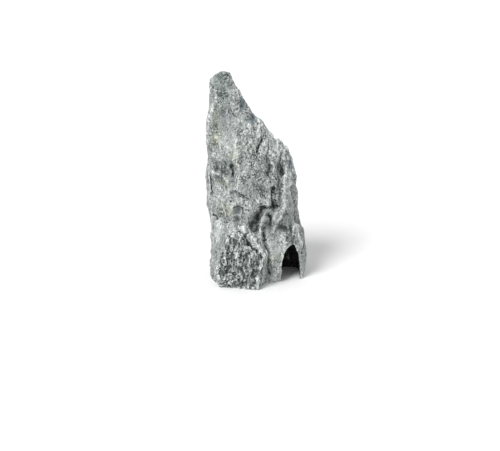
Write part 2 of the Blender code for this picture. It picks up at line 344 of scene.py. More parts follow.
# The middle level taken off the crests of the flutes and wrinkles, and off those of the bark
CREST_LEVEL = 0.35
BARK_LEVEL = 0.4

# Pits: a bowl's edge and bottom in cells, and the least random number that has one
PIT_BOWL = (0.36, 0.05)
PIT_LEAST = 0.62

# Upright cracks: their walls, and how strong slow noise is where they come in
CRACK_WALL = (0.20, 0.02)
CRACK_HERE = (0.05, 0.45)

# Bulges of the stone's edge, and one that thickens the wall behind the hollow: centre, reach across,
# reach up, height
BULGES = {
    "thin_wall": ((44, 28, 0), 8, 7, 1.8),
    "shoulder": ((33, 12, 147), 14, 17, 2.8),
    "shoulder_notch": ((14.5, 8, 163), 5, 5, 1.6),
    "shoulder_top": ((20, 11, 164), 7, 7, 1.0),
    "tip_neck": ((-25, 11, 221), 6, 5, 0.8),
}

# Leans of the upright patterns: slope, the height about which it turns, and the eases that bound it as
# (axis, where it is none, where it is full)
LEANS = {
    "middle": (0.35, 92, ((2, 132, 104), (2, 66, 84), (0, 22, -6))),
    "top": (-0.12, 140, ((2, 125, 150), (0, -24, 0))),
    "foot": (-0.14, 40, ((2, 80, 62), (0, 20, 10))),
}

# The tip: its middle as (across, height), the heights between which the patterns turn to lie across it,
# and how much they widen across it and tighten up it
TIP = (-38, 206)
TIP_HEIGHT = (198, 212)
TIP_WIDER = 0.6
TIP_TIGHTER = 2.0

# Narrow slits, cracks and pits of the broad face: width, depth, route as (across, height)
SLITS = {
    "slit_top": (0.9, 1.0, ((12.5, 126), (16, 116))),
    "slit_side": (1.4, 0.9, ((20.4, 106), (20.8, 98), (21, 91))),
    "deep_slit": (1.3, 2.4, ((16.8, 98), (17.4, 93), (18.4, 88))),
    "deep_slit_top": (0.8, 1.5, ((16.2, 107), (16.8, 98))),
    "slit_hook": (1.2, 1.4, ((23, 88), (14.5, 89), (5.8, 88.6))),
    "gully_edge": (1.1, 2.2, ((7, 60), (8.1, 55), (9.2, 45), (12, 36), (13.5, 12))),
    "buttress_step": (1.2, 3.0, ((-12.9, 61), (-9.1, 54.4), (-4.1, 49), (1.4, 43.5), (6, 37.5))),
    "upper_pit": (1.9, 2.4, ((28.1, 126.5), (27.4, 121.5))),
    "upper_pit_tail": (0.9, 1.5, ((26.8, 144), (24.7, 132.6), (26.5, 127))),
    "middle_pit": (0.9, 0.9, ((10.2, 143), (12.8, 134), (14.6, 126))),
    "diagonal_slit": (0.8, 1.6, ((5.8, 160.5), (0.3, 150.5))),
    "diagonal_end": (0.8, 1.2, ((2.5, 148), (-0.9, 144.5))),
    "crack": (0.8, 1.5, ((-23.8, 107.8), (-16.1, 103.9), (-9.6, 99.5))),
    "face_slit": (1.2, 1.7, ((-27.9, 135), (-27.1, 128), (-26.1, 121.5))),
    "left_crack": (0.8, 1.7, ((-52.8, 127.5), (-51.1, 117.7), (-50, 108.8), (-50.6, 100))),
    "left_notch": (1.4, 2.4, ((-48, 78.6), (-44.5, 76.5))),
    "hanging_slit": (1.1, 2.0, ((13, 81.4), (15.8, 75.9), (15.3, 69.5))),
    "upper_oval_rim": (0.8, 1.8, ((-25.5, 88.3), (-20.8, 90.4), (-16.2, 89.9), (-14.8, 86.7), (-16.2, 83))),
    "lower_oval_rim": (0.6, 1.0, ((-16.8, 81), (-16, 77.5), (-16.6, 74))),
    "leg_pit": (1.8, 1.8, ((51.5, 36), (50.8, 32))),
    "tip_pit": (1.0, 1.6, ((-31.7, 205.3), (-31.5, 204))),
    "tip_lens": (1.3, 1.0, ((-48.6, 217.3), (-48.6, 207.7))),
}

# Broader dips of the broad face, and swells where the depth is negative: width, depth, route
DIPS = {
    "left_hollow": (5.0, 0.6, ((-44.5, 136), (-37.5, 135), (-30.5, 132))),
    "left_ledge": (1.8, -0.3, ((-51.5, 126.3), (-44.8, 126), (-37, 125), (-32.5, 117))),
    "face_ridge": (3.2, -0.4, ((-23.5, 166), (-22.5, 145), (-21.5, 116))),
    "tent_ledge": (1.3, -0.4, ((-37.1, 101.3), (-30.4, 108.8), (-23.8, 109.8), (-9.5, 101.5))),
    "dark_hollow": (4.5, 0.8, ((0.5, 80), (-3.5, 72), (-7, 66.5))),
    "slit_tail": (2.2, 1.2, ((5.8, 88.4), (4, 83), (1, 71), (-0.5, 62.5))),
    "gully_ridge": (1.8, -0.7, ((7, 81), (4.8, 71), (3, 60), (5.9, 47))),
    "ledge_crest": (2.4, -0.4, ((-14, 69.7), (-7.9, 63.9), (-3, 56.7), (2.5, 48.2), (9.1, 38))),
    "long_strand": (1.5, -0.5, ((29.1, 82.2), (22.5, 71.7), (17.1, 59))),
    "short_strand": (1.4, -0.5, ((22, 83), (17.5, 74))),
    "tip_block": (1.4, 0.4, ((-29.6, 201), (-26.9, 191), (-23.6, 186.7))),
    "tip_ridge": (1.0, -0.7, ((-45.2, 213.8), (-44.2, 206.3), (-44.8, 200.5))),
    "tip_ripple": (1.0, 0.6, ((-46, 213), (-42, 214.5), (-37.5, 212))),
    "middle_ripple": (1.0, 0.7, ((-46, 209), (-41.5, 210.5), (-37, 207.5))),
    "lower_ripple": (1.0, 0.6, ((-45.5, 205), (-41, 206), (-37.5, 203.5))),
    "upper_scoop": (4.0, 1.4, ((-16.5, 201), (-11.5, 192))),
    "lower_scoop": (3.5, 1.2, ((-6, 184.5), (0.5, 179))),
}


def from_middle(points, centre, reach):
    """How far each point lies from a middle along each axis, counted in reaches."""
    return (points - np.array(centre, float)) / np.array(reach)


def roughness_by_place(points):
    """The share of relief at each point: each place pulls it towards its own, fading out from its middle."""
    share = np.full(len(points), ROUGHNESS_ELSEWHERE)
    for centre, across, up, own in ROUGHNESS_BY_PLACE.values():
        gap = np.linalg.norm(from_middle(points, centre, (across, across, up)), axis=1)
        share += (own - share) * blend(*PLACE_FADE, gap)
    return share


def inside_outline(flat_points, corners):
    """How far each (across, height) point lies inside an outline with no hollow side; outside is below 0."""
    inside = np.full(len(flat_points), np.inf)
    for start, end in zip(corners, corners[1:] + corners[:1]):
        along = np.subtract(end, start).astype(float)
        inward = np.array((-along[1], along[0])) / np.linalg.norm(along)
        inside = np.minimum(inside, (flat_points - np.array(start, float)) @ inward)
    return inside


def buttress_share(points, normals):
    """1 on the buttress's front face and 0 off it, with a ragged edge."""
    ragged = wandered(points, size=4.0, reach=1.5, channel=330)
    inside = inside_outline(ragged[:, [0, 2]], BUTTRESS_FACE)
    return blend(-BUTTRESS_EDGE, BUTTRESS_EDGE, inside) * blend(*BUTTRESS_TURN, -normals[:, 1])


def route_distance(flat_points, route):
    """How far each (across, height) point lies from the nearest stretch of a route."""
    nearest = np.full(len(flat_points), np.inf)
    for start, end in zip(route, route[1:]):
        start, along = np.array(start, float), np.subtract(end, start).astype(float)
        share = np.clip((flat_points - start) @ along / (along @ along), 0.0, 1.0)
        gap = np.linalg.norm(flat_points - start - share[:, None] * along, axis=1)
        nearest = np.minimum(nearest, gap)
    return nearest


def uneven(points, channel, least, most=1.2, size=6.0, swing=0.8):
    """A share from least to most that makes a slit or a ridge come and go along its length."""
    return np.clip(swing + swing * layered(points / size, channel), least, most)


def bells(points, routes):
    """For each route of the broad face, its depth times a bell across it."""
    bent = wandered(points, size=5.0, reach=1.2, channel=300)[:, [0, 2]]
    breadth = uneven(points, channel=305, least=0.5)
    for width, depth, route in routes.values():
        yield depth * np.exp(-((route_distance(bent, route) / (width * breadth)) ** 2))


def slit_depths(points, outward):
    """The deepest of the slits at each point, on skin that looks to the front."""
    return np.max(list(bells(points, SLITS)), axis=0) * uneven(points, channel=310, least=0.6) * outward


def dip_depths(points, outward):
    """The sum of the dips and swells at each point, on skin that looks to the front."""
    return np.sum(list(bells(points, DIPS)), axis=0) * uneven(points, channel=320, least=0.25) * outward


def oval_depths(points, outward):
    """The ovals' depth inside them, with a slope at their edge, on skin that looks to the front."""
    return OVAL_DEPTH * blend(-OVAL_EDGE, OVAL_SLOPE, oval_inside(points)) * outward


def leaned(points):
    """Slants a pattern's upright lines: left below the left hollow, right above it and at the foot.

    At the tip they turn to lie across it and rise to the right.
    """
    height = points[:, 2]
    lean = np.zeros(len(points))
    for slope, turn, bounds in LEANS.values():
        share = np.prod([blend(none, full, points[:, axis]) for axis, none, full in bounds], axis=0)
        lean += slope * share * (height - turn)
    tip = blend(*TIP_HEIGHT, height)
    beside = points[:, 0] - TIP[0]
    across = points[:, 0] + lean - TIP_WIDER * tip * beside
    along = height + tip * (TIP_TIGHTER * (height - TIP[1]) - beside)
    return np.stack([across, points[:, 1], along], axis=-1)


def flowing(points):
    """The points as the upright patterns take them: pushed about slowly, then leaned."""
    return leaned(wandered(points, size=16.0, reach=3.0, channel=20))


def fine_relief(points):
    """How far the weathered skin stands proud: leaning chips, wandering upright flutes and crumbs."""
    bent = flowing(points)
    folded = wandered(bent, size=9.0, reach=1.0, channel=24)
    large = PATTERNS["large_chips"] * chips(stretched(bent, width=9.0, length=15.0), channel=90)
    small = PATTERNS["small_chips"] * chips(stretched(bent, width=3.6, length=8.0), channel=91)
    flutes = crests(stretched(bent, width=5.0, length=17.0), channel=30) - CREST_LEVEL
    wrinkles = crests(stretched(folded, width=2.5, length=6.5), channel=40) - CREST_LEVEL
    crumbs = layered(points / 2.6, channel=50, gain=0.7)
    upright = PATTERNS["flutes"] * flutes
    return large + small + upright + PATTERNS["wrinkles"] * wrinkles + PATTERNS["crumbs"] * crumbs


def bark_relief(points):
    """The buttress's own rough face: upright ridges like bark on leaning chips and slow waves."""
    bent = leaned(wandered(points, size=9.0, reach=3.0, channel=26))
    ridges = crests(stretched(bent, width=2.8, length=7.0), channel=60) - BARK_LEVEL
    broken = chips(stretched(bent, width=6.5, length=10.0), channel=92)
    waves = soft_noise(points / 13.0, channel=64)
    relief = PATTERNS["bark_ridges"] * ridges + PATTERNS["bark_chips"] * broken
    return relief + PATTERNS["bark_waves"] * waves


def pit_depths(points):
    """Small dissolved pits: a bowl at some of the strewn points, none at the others."""
    ragged = wandered(points, size=3.0, reach=1.6, channel=74)
    first, own = scattered(stretched(ragged, width=4.2, length=7.5), channel=70)
    return PATTERNS["pits"] * blend(*PIT_BOWL, first) * (own > PIT_LEAST)


def crack_depths(points):
    """Upright cracks: grooves where noise drawn out far along the stone passes through 0, here and there."""
    bent = wandered(points, size=11.0, reach=3.0, channel=350)
    apart = np.abs(soft_noise(stretched(bent, width=10.0, length=120.0), channel=353))
    here = soft_noise(stretched(bent, width=9.0, length=22.0), channel=354)
    return PATTERNS["cracks"] * blend(*CRACK_WALL, apart) * blend(*CRACK_HERE, here)


def swells(points):
    """Broad scoops and shoulders, longer than they are wide."""
    bent = wandered(points, size=20.0, reach=5.0, channel=360)
    return PATTERNS["swells"] * layered(stretched(bent, width=15.0, length=26.0), channel=363)


def bulges(points):
    """Each bulge's height times a bell that falls off from its middle."""
    total = np.zeros(len(points))
    for centre, across, up, height in BULGES.values():
        gap = from_middle(points, centre, (across, across, up))
        total += height * np.exp(-((gap**2).sum(axis=1)))
    return total


def keep(mesh, name, values):
    """Stores one number for each vertex, for the material to read."""
    attribute = mesh.attributes.new(name, "FLOAT", "POINT")
    attribute.data.foreach_set("value", values.astype(np.float32))


def keep_places(mesh, name, points):
    """Stores one place for each vertex, in metres, for the material to use as coordinates."""
    attribute = mesh.attributes.new(name, "FLOAT_VECTOR", "POINT")
    attribute.data.foreach_set("vector", (points * MM).astype(np.float32).ravel())


# Stains of the rock, and patches of painted light and painted shade: centre, reach across, reach up,
# strength
STAINS = {
    "olive": (
        ((-44, 0, 184), 4, 14, 0.8),
        ((-45, -4, 162), 5, 10, 0.7),
        ((-36, -16, 115), 5, 7, 0.7),
        ((-29, -14, 147), 5, 4, 0.6),
        ((-34, -19, 88), 8, 8, 0.5),
        ((-20, 34, 120), 16, 34, 0.6),
        ((20, 28, 60), 14, 26, 0.5),
        ((46, 12, 40), 10, 20, 0.4),
    ),
    "cream": (
        ((-23, -17, 151), 6, 9, 0.7),
        ((-22, -16, 134), 3, 12, 0.25),
        ((20, -19, 29), 9, 6, 0.9),
        ((-33, -18, 84), 4, 5, 0.3),
        ((-8, 36, 70), 10, 20, 0.6),
        ((-50, 16, 100), 8, 20, 0.5),
    ),
    # Pale: partly paler stone, partly painted light on faces the sun reaches too little, as the gully and
    # the leg.
    "pale": (
        ((19, -19, 43), 12, 17, 1.25),
        ((0, 1, 173), 9, 10, 1.5),
        ((-13, -14, 157), 5, 9, 0.9),
        ((22, 5, 149), 9, 9, 1.4),
        ((8, -5, 142), 4, 6, 0.9),
        ((28, 5, 133), 6, 6, 0.8),
        ((-40, -5, 167), 6, 8, 0.8),
        ((-21, -5, 186), 4, 9, 0.8),
        ((-49, 1, 197), 4, 10, 1.3),
        ((-21, 3, 203), 2, 8, 0.6),
        ((36, -5, 104), 4, 8, 0.9),
        ((-26, -20, 94), 8, 4, 1.0),
        ((-29, -22, 81), 3, 7, 0.5),
        ((-46, -11, 79), 4, 4, 1.1),
        ((-4, -22, 89), 5, 6, 1.3),
        ((-7, -22, 67), 3, 4, 0.8),
        ((-17, -41, 45), 4, 5, 0.8),
        ((-27, -38, 58), 3, 4, 0.6),
        ((0, -36, 50), 3, 5, 0.8),
        ((45, -10, 62), 3.5, 9, 1.1),
        ((50, -10, 43), 3, 6, 0.9),
        ((-43, -24, 62), 6, 18, 1.0),
        ((-53, 2, 150), 3, 30, 0.6),
        ((-24, 4, 212), 4, 12, 1.0),
        ((-31, 6, 228), 4, 6, 0.7),
        ((-35, -10, 162), 9, 13, 0.8),
        ((10, 0, 156), 15, 13, 0.6),
        ((30, -6, 106), 2.5, 20, 0.6),
        ((8.6, -20, 97), 6, 4, 0.6),
        ((-12, 30, 136), 8, 22, 0.9),
        ((26, 36, 46), 8, 20, 0.9),
        ((-42, 28, 34), 8, 16, 0.7),
        ((-30, 22, 190), 6, 20, 0.6),
        ((48, 18, 96), 6, 18, 0.6),
    ),
    "blue_grey": (
        ((-15, 7, 200.5), 6, 9, 1.0),
        ((-5, 4, 183), 7.5, 5, 1.0),
        ((37, 4, 128), 5, 4.5, 0.9),
        ((-34, -5, 186), 7, 8, 0.35),
        ((24, 26, 110), 12, 22, 0.7),
        ((-34, 32, 40), 14, 20, 0.5),
    ),
    # Painted shade: darker patches in hollows, under ledges and on faces turned from the sun.
    "shade": (
        ((-52, -2, 146), 4.5, 14, 1.5),
        ((-42, -10, 125), 8, 9, 1.3),
        ((34, 9, 141), 7, 11, 1.5),
        ((-37, 6, 232), 7, 4, 0.8),
        ((-36.5, -2, 195), 3.5, 8, 1.0),
        ((-36, 2, 214), 4, 6, 0.7),
        ((-7, 10, 195), 4, 6, 1.4),
        ((-15, -39, 58), 4.5, 6, 1.5),
        ((-17, -30, 75), 3, 8, 0.6),
        ((-12, -23, 104), 6, 4, 1.4),
        ((2, -18, 124), 7, 10, 0.8),
        ((24, -10, 102), 3, 16, 1.0),
        ((12, -19, 84), 9, 5, 1.0),
        ((25, -18, 63), 7, 8, 1.1),
        ((6, -18, 75), 3, 6, 0.6),
        ((34, -14, 76), 5, 6, 1.0),
        ((37, -17, 51), 7, 9, 1.4),
        ((4, -42, 34), 4, 7, 1.3),
        ((-32, -40, 20), 5, 6, 1.0),
        ((-34, -37, 52), 3, 4, 0.8),
        ((-11, -42, 13), 6, 6, 0.8),
        ((8, 34, 94), 20, 5, 1.0),
        ((-26, 36, 82), 6, 16, 0.9),
        ((32, 26, 74), 6, 20, 0.9),
        ((-40, 24, 120), 7, 18, 0.8),
        ((0, 40, 20), 14, 8, 0.8),
        ((54, 14, 60), 6, 20, 0.7),
        ((-8, 26, 168), 6, 16, 0.8),
    ),
    # Dark green: partly a green stain, as on the tip, partly painted shade in the dark and left hollows and
    # under the hook.
    "dark_green_and_shade": (
        ((-40, 6, 225), 12, 10, 1.0),
        ((-37, 1, 208), 5, 12, 0.9),
        ((-49.1, 5, 212), 2, 5, 0.9),
        ((-4, -22, 73), 6, 10, 1.0),
        ((-37, -8, 134), 9, 5, 0.7),
        ((-33, -10, 126), 4, 4, 0.6),
        ((22, -8, 110), 3, 20, 0.8),
        ((12, -4, 129), 4, 5, 0.6),
        ((5, -19, 109), 8, 3.5, 0.6),
        ((12, -21, 80), 6, 7, 0.55),
        ((31, -16, 65), 9, 4.5, 0.9),
        ((-24, 26, 180), 12, 26, 0.5),
    ),
}

# Stains: how far crumbs of noise push them about, their reach in depth for each reach across, and how
# they fade out, in reaches from their middle
STAIN_CRUMBS = 2.5
STAIN_DEPTH = 1.6
STAIN_FADE = (1.35, 0.45)

# Flat facets of blue-grey stone at the shoulder, as (across, height) corners counted anticlockwise, how
# soft their edge is, and how far back they come in
FACETS = (
    ((-20.0, 210), (-19.4, 192.5), (-15, 191.5), (-10, 195), (-12.9, 202)),
    ((-8.6, 187.5), (-8.6, 179.5), (0.6, 178), (-3, 183.5)),
)
FACET_EDGE = 0.7
FACET_BACK = (-6.0, -5.0)

# Smooth oval scoops left of the dark hollow, as (across, height) corners counted anticlockwise, their
# depth, how far in their slope and their edge reach, and how much dark green they have
OVALS = (
    (
        (-27.5, 81.4),
        (-22, 81.8),
        (-17.2, 83),
        (-15, 86.7),
        (-16.5, 89.7),
        (-20.8, 90.2),
        (-25.1, 88),
        (-28.2, 84),
    ),
    ((-27.5, 76.1), (-24.4, 74.1), (-20.8, 74.4), (-17.7, 77.5), (-17.7, 80.5), (-22, 80.6), (-26.3, 78.9)),
)
OVAL_DEPTH = 0.6
OVAL_SLOPE = 2.0
OVAL_EDGE = 0.8
OVAL_GREEN = 0.2

# Bands of painted shade in hollows, pits and slits and under ledges: width, strength, route as (across,
# height)
PAINTED_SHADE_BANDS = {
    "dark_hollow": (4.0, 0.6, ((1, 81), (-2.5, 75), (-6.5, 68))),
    "upper_pit": (3.0, 0.5, ((28, 129), (27.5, 119))),
    "middle_pit": (2.6, 0.3, ((13, 134), (14.5, 125))),
    "deep_slit": (3.4, 0.5, ((18, 108), (19, 98), (20, 90))),
    "slit_hook": (2.0, 0.7, ((23, 88), (14, 89), (6, 88.6))),
    "step_shade": (2.6, 0.4, ((0, 110), (10, 107))),
    "under_ledge": (2.2, 0.6, ((-11, 56), (-6, 50), (0.5, 43.5))),
    "gully_edge": (1.6, 0.45, ((7.2, 58), (9, 45), (12, 36))),
    "hanging_slit": (2.2, 0.5, ((13, 81), (15.5, 75), (15, 69))),
    "knee_shade": (4.2, 0.45, ((20, 72), (25, 66), (33, 64))),
    "leg_pit": (2.4, 0.6, ((51.5, 37), (50.8, 31))),
    "oval_rims": (
        1.1,
        0.6,
        ((-25.5, 88.5), (-20.5, 90.6), (-16, 89.4), (-14.6, 86), (-16.3, 80), (-16.5, 75)),
    ),
    "left_edge": (1.6, 0.4, ((-51, 127), (-50, 118), (-49.5, 104))),
}

# Pale bands: painted highlight along ledges, and pale scratches: width, strength, route as (across, height)
PALE_AND_HIGHLIGHT_BANDS = {
    "ledge_crest": (3.3, 1.0, ((-19.5, 70.5), (-14, 69), (-7.9, 63.4), (-3, 56), (2.5, 47.6), (8.5, 38))),
    "gully_ridge": (1.5, 0.15, ((7, 81), (4.8, 71), (3, 60), (5.9, 47))),
    "left_ledge": (1.1, 0.6, ((-51.5, 126.3), (-44.8, 126), (-38, 123.5), (-33, 118))),
    "oval_edge": (0.9, 0.7, ((-29, 85), (-28.6, 80.8), (-28.4, 76), (-25, 73.3))),
    "between_ovals": (0.7, 0.7, ((-27, 80.3), (-21.5, 81.2))),
    "tent_ledge": (0.9, 0.3, ((-37.1, 101.3), (-30.4, 108.8), (-23.8, 109.8))),
    "tip_block": (0.8, 0.9, ((-29.6, 198), (-26.9, 190), (-23.6, 186))),
    "tip_scratch": (0.7, 0.8, ((-39.8, 218.3), (-36.5, 224.5), (-33.3, 222.4))),
    "tip_ridge": (0.8, 0.8, ((-50.5, 218), (-45.2, 213.8), (-44.2, 206.3), (-44.8, 198))),
    "hooks": (0.8, 0.8, ((-52.2, 164.4), (-46.7, 164.4), (-41.2, 165.5))),
    "loops": (0.8, 0.6, ((-36.5, 165), (-32.5, 156.6), (-27.5, 153.7))),
    # The leg's bands are painted light on faces the sun reaches too little.
    "leg_front": (2.0, 0.9, ((43, 72), (45.5, 62), (47.5, 52), (49.5, 43))),
    "leg_edge": (1.1, 0.7, ((39.4, 69), (41.8, 56.7), (43.7, 46.4))),
}

# The hollow beside the leg: its middle as (across, height), and where its painted shade comes in: across
# and up from that middle, behind its mouth, before its end, and on walls that turn to it and not to the back
HOLLOW_MIDDLE = (38, 18)
HOLLOW_ACROSS = (16.5, 14.5)
HOLLOW_UP = (33.0, 28.0)
HOLLOW_MOUTH = (-15.0, -7.0)
HOLLOW_END = (33.5, 30.0)
HOLLOW_TURN = (-0.45, -0.15)
HOLLOW_BACK = (0.5, 0.2)

# How much pits and cracks count as slits for the material, which paints them dark as shade
PIT_SHADE_SHARE = 0.6


def stain(points, patches):
    """0 to 1: the strongest of the patches at each point, each fading out raggedly from its middle."""
    ragged = wandered(points, size=12.0, reach=5.0, channel=400)
    ragged += STAIN_CRUMBS * (soft_noise(points / 3.0, channel=410))[:, None]
    strongest = np.zeros(len(points))
    for centre, across, up, strength in patches:
        gap = np.linalg.norm(from_middle(ragged, centre, (across, STAIN_DEPTH * across, up)), axis=1)
        strongest = np.maximum(strongest, strength * blend(*STAIN_FADE, gap))
    return strongest


def facet_share(points):
    """1 inside the facets and 0 outside them, with crisp edges."""
    places = wandered(points, size=3.0, reach=0.8, channel=340)[:, [0, 2]]
    inside = np.max([inside_outline(places, corners) for corners in FACETS], axis=0)
    return blend(-FACET_EDGE, FACET_EDGE, inside) * blend(*FACET_BACK, points[:, 1])


def oval_inside(points):
    """How far each point lies inside the nearer oval, drawn wider by OVAL_EDGE; outside is below 0."""
    places = wandered(points, size=3.0, reach=0.6, channel=345)[:, [0, 2]]
    return np.max([inside_outline(places, corners) for corners in OVALS], axis=0) + OVAL_EDGE


def hollow_shade_share(points, normals):
    """Painted shade in the hollow by the leg: 1 on walls well inside, 0 outside it and on the leg's outer
    side.
    """
    aside = points[:, 0] - HOLLOW_MIDDLE[0]
    beside = blend(*HOLLOW_ACROSS, np.abs(aside))
    below = blend(*HOLLOW_UP, points[:, 2] - HOLLOW_MIDDLE[1])
    deep = blend(*HOLLOW_MOUTH, points[:, 1]) * blend(*HOLLOW_END, points[:, 1])
    inward = blend(*HOLLOW_TURN, -np.sign(aside) * normals[:, 0]) * blend(*HOLLOW_BACK, normals[:, 1])
    return beside * below * deep * inward


def keep_crests(mesh, edges, points):
    """Keeps how far each vertex stands out of the skin smoothed a little, more and far more."""
    normals = normals_of(mesh)
    near = smoothed(points, edges, FINE_ROUNDS)
    wide = smoothed(points, edges, MIDDLE_ROUNDS)
    broad = smoothed(points, edges, BROAD_ROUNDS)
    # The material paints these as highlights on crests and shade in hollows.
    keep(mesh, "crest_fine", ((points - near) * normals).sum(axis=1))
    keep(mesh, "crest_middle", ((near - wide) * normals).sum(axis=1))
    keep(mesh, "crest_broad", ((wide - broad) * normals).sum(axis=1))


def keep_marks(mesh, points, outward):
    """Keeps the stains, bands, facets and ovals, and the coordinates that the upright marks follow."""
    keep_places(mesh, "flow", flowing(points))
    # The hollow's share, which the material paints near black as the shade deep inside it.
    keep(mesh, "hollow", hollow_shade_share(points, normals_of(mesh)))
    masks = {name: stain(points, patches) for name, patches in STAINS.items()}
    masks["pale_and_highlight_bands"] = np.max(list(bells(points, PALE_AND_HIGHLIGHT_BANDS)), axis=0) * outward
    masks["painted_shade_bands"] = np.max(list(bells(points, PAINTED_SHADE_BANDS)), axis=0) * outward
    masks["facets"] = facet_share(points) * outward
    ovals = blend(-OVAL_EDGE, OVAL_EDGE, oval_inside(points)) * outward
    masks["smooth"] = np.maximum(masks["facets"], ovals)
    masks["dark_green_and_shade"] = np.maximum(masks["dark_green_and_shade"], OVAL_GREEN * ovals)
    for name, mask in masks.items():
        keep(mesh, name, mask)


def weather(stone):
    """Smooths the facets away, cuts the slits, raises the fine relief and keeps what the material needs."""
    mesh = stone.data
    edges = edges_of(mesh)
    on_ground = points_of(mesh)[:, 2] < ON_GROUND
    points = smoothed(points_of(mesh), edges, FACET_ROUNDS)
    set_points(mesh, points)
    normals = normals_of(mesh)
    outward = blend(*FRONT_TURN, -normals[:, 1])
    buttress = buttress_share(points, normals)
    rough = roughness_by_place(points)
    rough += (BUTTRESS_ROUGHNESS - rough) * buttress
    rough += LEDGE_ROUGHNESS * next(bells(points, {"ledge_crest": PALE_AND_HIGHLIGHT_BANDS["ledge_crest"]}))
    firm = blend(*FIRM_ROUGHNESS, rough)
    slits = slit_depths(points, outward)
    cracks = crack_depths(points) * (1.0 - outward) * firm
    pits = rough * pit_depths(points)
    relief = rough * fine_relief(points) + buttress * bark_relief(points)
    relief -= pits + slits + cracks + dip_depths(points, outward)
    relief -= oval_depths(points, outward)
    relief += swells(points) * blend(*BACK_TURN, normals[:, 1]) * firm
    relief *= blend(*FOOT_HEIGHT, points[:, 2])
    relief += bulges(points)
    points = points + normals * relief[:, None]
    points = np.clip(points, *(np.array(corner) / MM for corner in bounds_at_load))
    points[on_ground, 2] = 0.0
    set_points(mesh, points)
    # The slits' depth, with pits and cracks, from which the material paints shade into them.
    keep(mesh, "slit", slits + PIT_SHADE_SHARE * (pits + cracks))
    keep(mesh, "roughness", rough)
    keep(mesh, "buttress", buttress)
    keep_crests(mesh, edges, points)
    keep_marks(mesh, points, outward)


class Nodes:
    """Short ways to add and join the nodes of one material."""

    def __init__(self, tree):
        self.tree = tree

    def add(self, kind, **settings):
        """A new shader node with these settings."""
        node = self.tree.nodes.new("ShaderNode" + kind)
        for name, value in settings.items():
            setattr(node, name, value)
        return node

    def feed(self, socket, value):
        """Joins a node's output to a socket, or sets a plain value on it."""
        if isinstance(value, bpy.types.NodeSocket):
            self.tree.links.new(value, socket)
        else:
            socket.default_value = value

    def attribute(self, name):
        """One of the mesh's attributes, as a number."""
        return self.add("Attribute", attribute_name=name).outputs["Fac"]

    def sum_of(self, *terms):
        """The sum of sockets, each times its own number."""
        total = None
        for socket, factor in terms:
            step = self.add("Math", operation="MULTIPLY_ADD")
            self.feed(step.inputs[0], socket)
            self.feed(step.inputs[1], factor)
            self.feed(step.inputs[2], 0.0 if total is None else total)
            total = step.outputs[0]
        return total

    def times(self, a, b):
        """The product of two values."""
        step = self.add("Math", operation="MULTIPLY")
        self.feed(step.inputs[0], a)
        self.feed(step.inputs[1], b)
        return step.outputs[0]

    def between(self, value, low, high, start=0.0, end=1.0):
        """Eases from start to end as the value goes from low to high."""
        ramp = self.add("MapRange", interpolation_type="SMOOTHSTEP")
        for name, item in (("Value", value), ("From Min", low), ("From Max", high)):
            self.feed(ramp.inputs[name], item)
        self.feed(ramp.inputs["To Min"], start)
        self.feed(ramp.inputs["To Max"], end)
        return ramp.outputs["Result"]

    def mix(self, factor, a, b, way="MIX"):
        """Colour a, turned into colour b as far as the factor says."""
        step = self.add("Mix", data_type="RGBA", blend_type=way)
        self.feed(step.inputs["Factor"], factor)
        self.feed(step.inputs["A"], a)
        self.feed(step.inputs["B"], b)
        return step.outputs["Result"]

    def drawn_out(self, coordinates, times):
        """Coordinates in which a pattern is that many times longer up the stone than across it."""
        mapping = self.add("Mapping")
        self.feed(mapping.inputs["Vector"], coordinates)
        mapping.inputs["Scale"].default_value = (1.0, 1.0, 1.0 / times)
        return mapping.outputs["Vector"]

    def spots(self, coordinates, spacing, inner, outer):
        """1 at points strewn about that many millimetres apart, and 0 away from them.

        They fade out between two shares of the spacing.
        """
        node = self.add("TexVoronoi")
        self.feed(node.inputs["Vector"], coordinates)
        self.feed(node.inputs["Scale"], 1.0 / (spacing * MM))
        return self.between(node.outputs["Distance"], outer, inner)

    def veins(self, coordinates, size, width):
        """1 on thin wandering lines and 0 between them: where noise of that size passes through 0."""
        apart = self.add("Math", operation="ABSOLUTE")
        self.feed(apart.inputs[0], self.noise(coordinates, size, detail=1.0, roughness=0.5))
        return self.between(apart.outputs[0], width, 0.0)

    def noise(self, coordinates, size, detail=3.0, roughness=0.6):
        """Noise about 0 whose lumps are about that many millimetres across."""
        node = self.add("TexNoise")
        self.feed(node.inputs["Vector"], coordinates)
        self.feed(node.inputs["Scale"], 1.0 / (size * MM))
        self.feed(node.inputs["Detail"], detail)
        self.feed(node.inputs["Roughness"], roughness)
        return self.sum_of((node.outputs["Fac"], 1.0), (0.5, -1.0))


# Shades of the limestone, in linear light
SHADES = (
    (0.00, (0.030, 0.035, 0.033, 1)),
    (0.22, (0.105, 0.116, 0.115, 1)),
    (0.50, (0.260, 0.284, 0.277, 1)),
    (0.74, (0.430, 0.458, 0.446, 1)),
    (1.00, (0.760, 0.784, 0.766, 1)),
)
BASE_TONE = 0.50

# Tints that the stains lay over the shades
TINTS = {
    "olive": (1.00, 0.97, 0.80, 1),
    "cream": (1.05, 1.04, 0.95, 1),
    "blue_grey": (0.95, 0.99, 1.04, 1),
    "facets": (0.97, 0.99, 1.03, 1),
    "dark_green_and_shade": (0.95, 1.00, 0.97, 1),
}

# Painted shade for slits and for the hollow beside the leg, and how much it covers at most
SLIT_PAINTED_SHADE = (0.045, 0.048, 0.044, 1)
SLIT_SHADE_COVER = 0.8
HOLLOW_PAINTED_SHADE = (0.010, 0.010, 0.009, 1)
HOLLOW_SHADE_COVER = 0.97

# How high the finest texture stands as bump
BUMP_HEIGHT = 1.0


